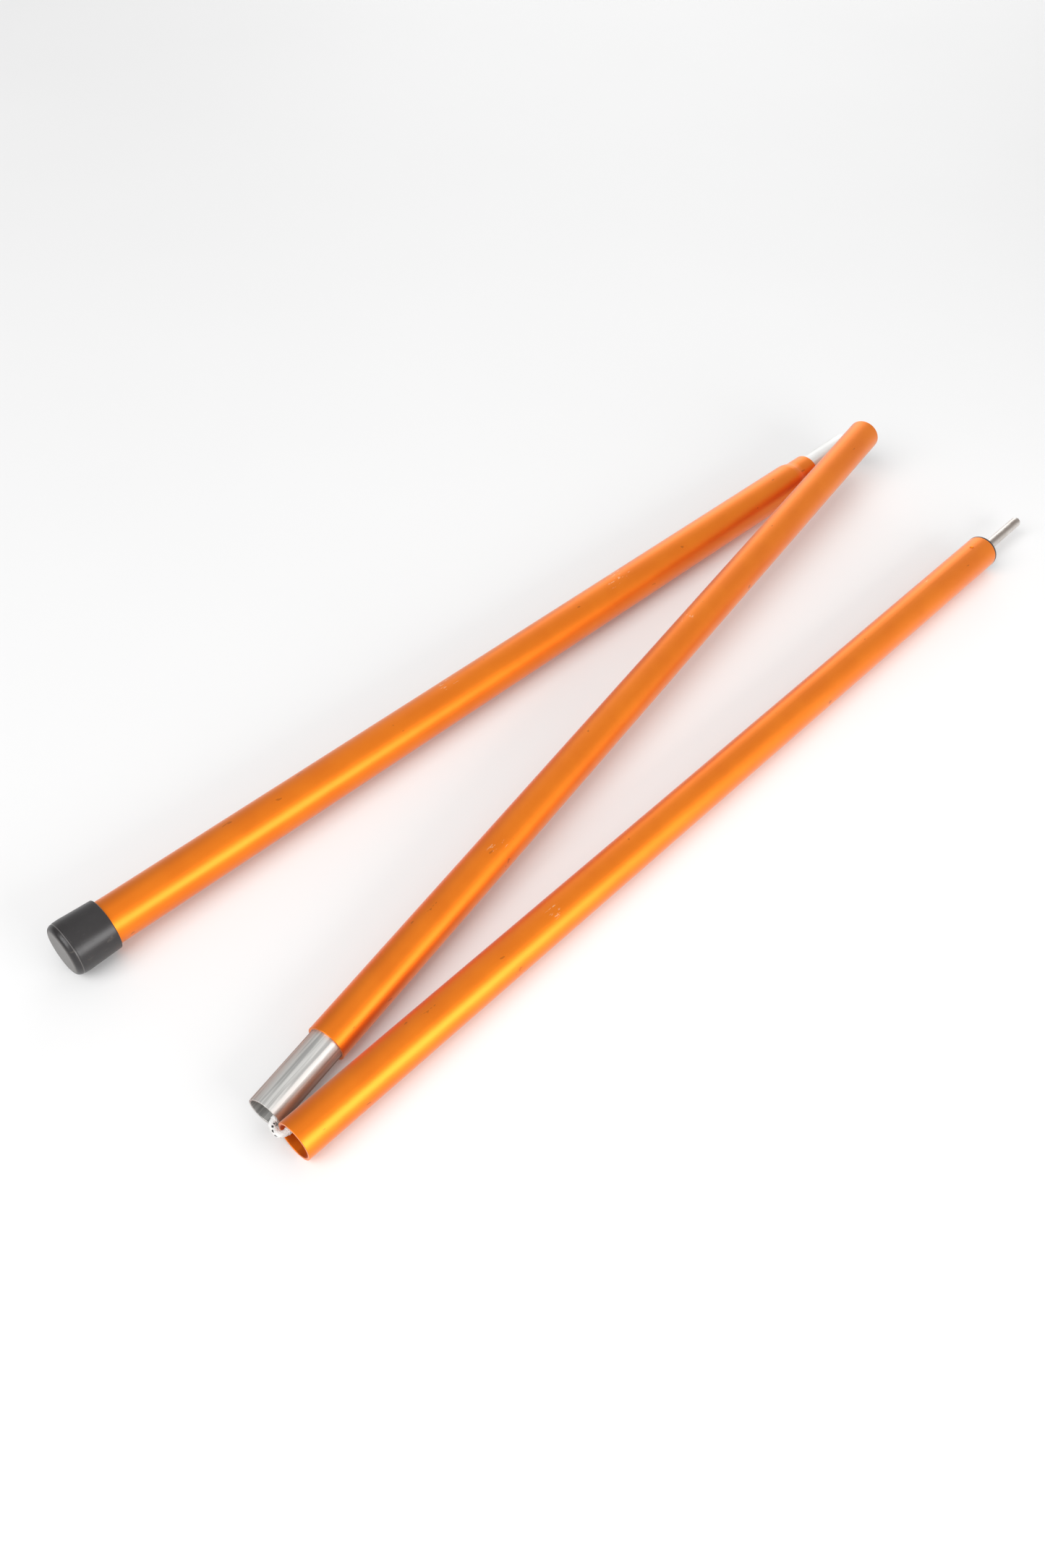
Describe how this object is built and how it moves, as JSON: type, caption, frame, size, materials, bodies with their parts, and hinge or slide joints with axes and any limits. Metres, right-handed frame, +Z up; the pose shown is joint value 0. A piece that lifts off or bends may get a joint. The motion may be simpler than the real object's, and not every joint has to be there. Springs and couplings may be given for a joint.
{
  "type": "folding tubular pole",
  "caption": "Folding pole of orange anodised tubes on an elastic cord, lying folded in a zigzag, with bare ferrules, a rubber foot cap and a steel spike",
  "frame": {"origin": "centre of the bounding box at ground level, with the folded pole lying on the ground", "axes": "+X runs along the folded pole from the foot cap towards the spike, +Z is up from the ground"},
  "size_m": [0.5746, 0.163, 0.034],
  "materials": {
    "orange_anodised": "satin anodised",
    "bare_aluminium": "drawn, satin",
    "black_rubber": "moulded, satin",
    "black_plastic": "moulded",
    "steel_pin": "turned, zinc plated",
    "steel_washer": "stamped",
    "white_cord": "braided"
  },
  "bodies": {
    "foot_section": {"foot_cap": "black_rubber", "foot_plug": "black_plastic", "foot_washer": "steel_washer", "foot_knot": "white_cord", "foot_tube": "orange_anodised", "foot_ferrule": "bare_aluminium", "cord_in_foot": "white_cord"},
    "upper_link": {"cord_upper_bend": "white_cord"},
    "middle_section": {"middle_tube": "orange_anodised", "middle_ferrule": "bare_aluminium", "cord_in_middle": "white_cord"},
    "lower_link": {"cord_lower_bend": "white_cord"},
    "tip_section": {"tip_tube": "orange_anodised", "tip_plug": "black_plastic", "tip_pin": "steel_pin", "tip_washer": "steel_washer", "tip_knot": "white_cord", "cord_in_tip": "white_cord"}
  },
  "joints": [
    {"name": "upper_fold", "type": "hinge", "parent": "foot_section", "child": "upper_link", "pos_m": [0.27559, 0.06323, 0.01768], "axis": [-0.0847, 0.7563, 0.6487], "range_deg": [0, 174.04], "deforming": ["cord_upper_bend"]},
    {"name": "upper_seat", "type": "slide", "parent": "upper_link", "child": "middle_section", "axis": [0.9796, 0.199, 0.029], "range_m": [0, 0.041], "deforming": ["cord_in_middle"]},
    {"name": "lower_fold", "type": "hinge", "parent": "middle_section", "child": "lower_link", "pos_m": [-0.26959, -0.06289, 0.00896], "axis": [0.0219, -0.0595, -0.998], "range_deg": [-6, 171.03], "deforming": ["cord_lower_bend"]},
    {"name": "lower_seat", "type": "slide", "parent": "lower_link", "child": "tip_section", "axis": [-0.9991, -0.0419, 0], "range_m": [0, 0.041], "deforming": ["cord_in_tip"]}
  ]
}
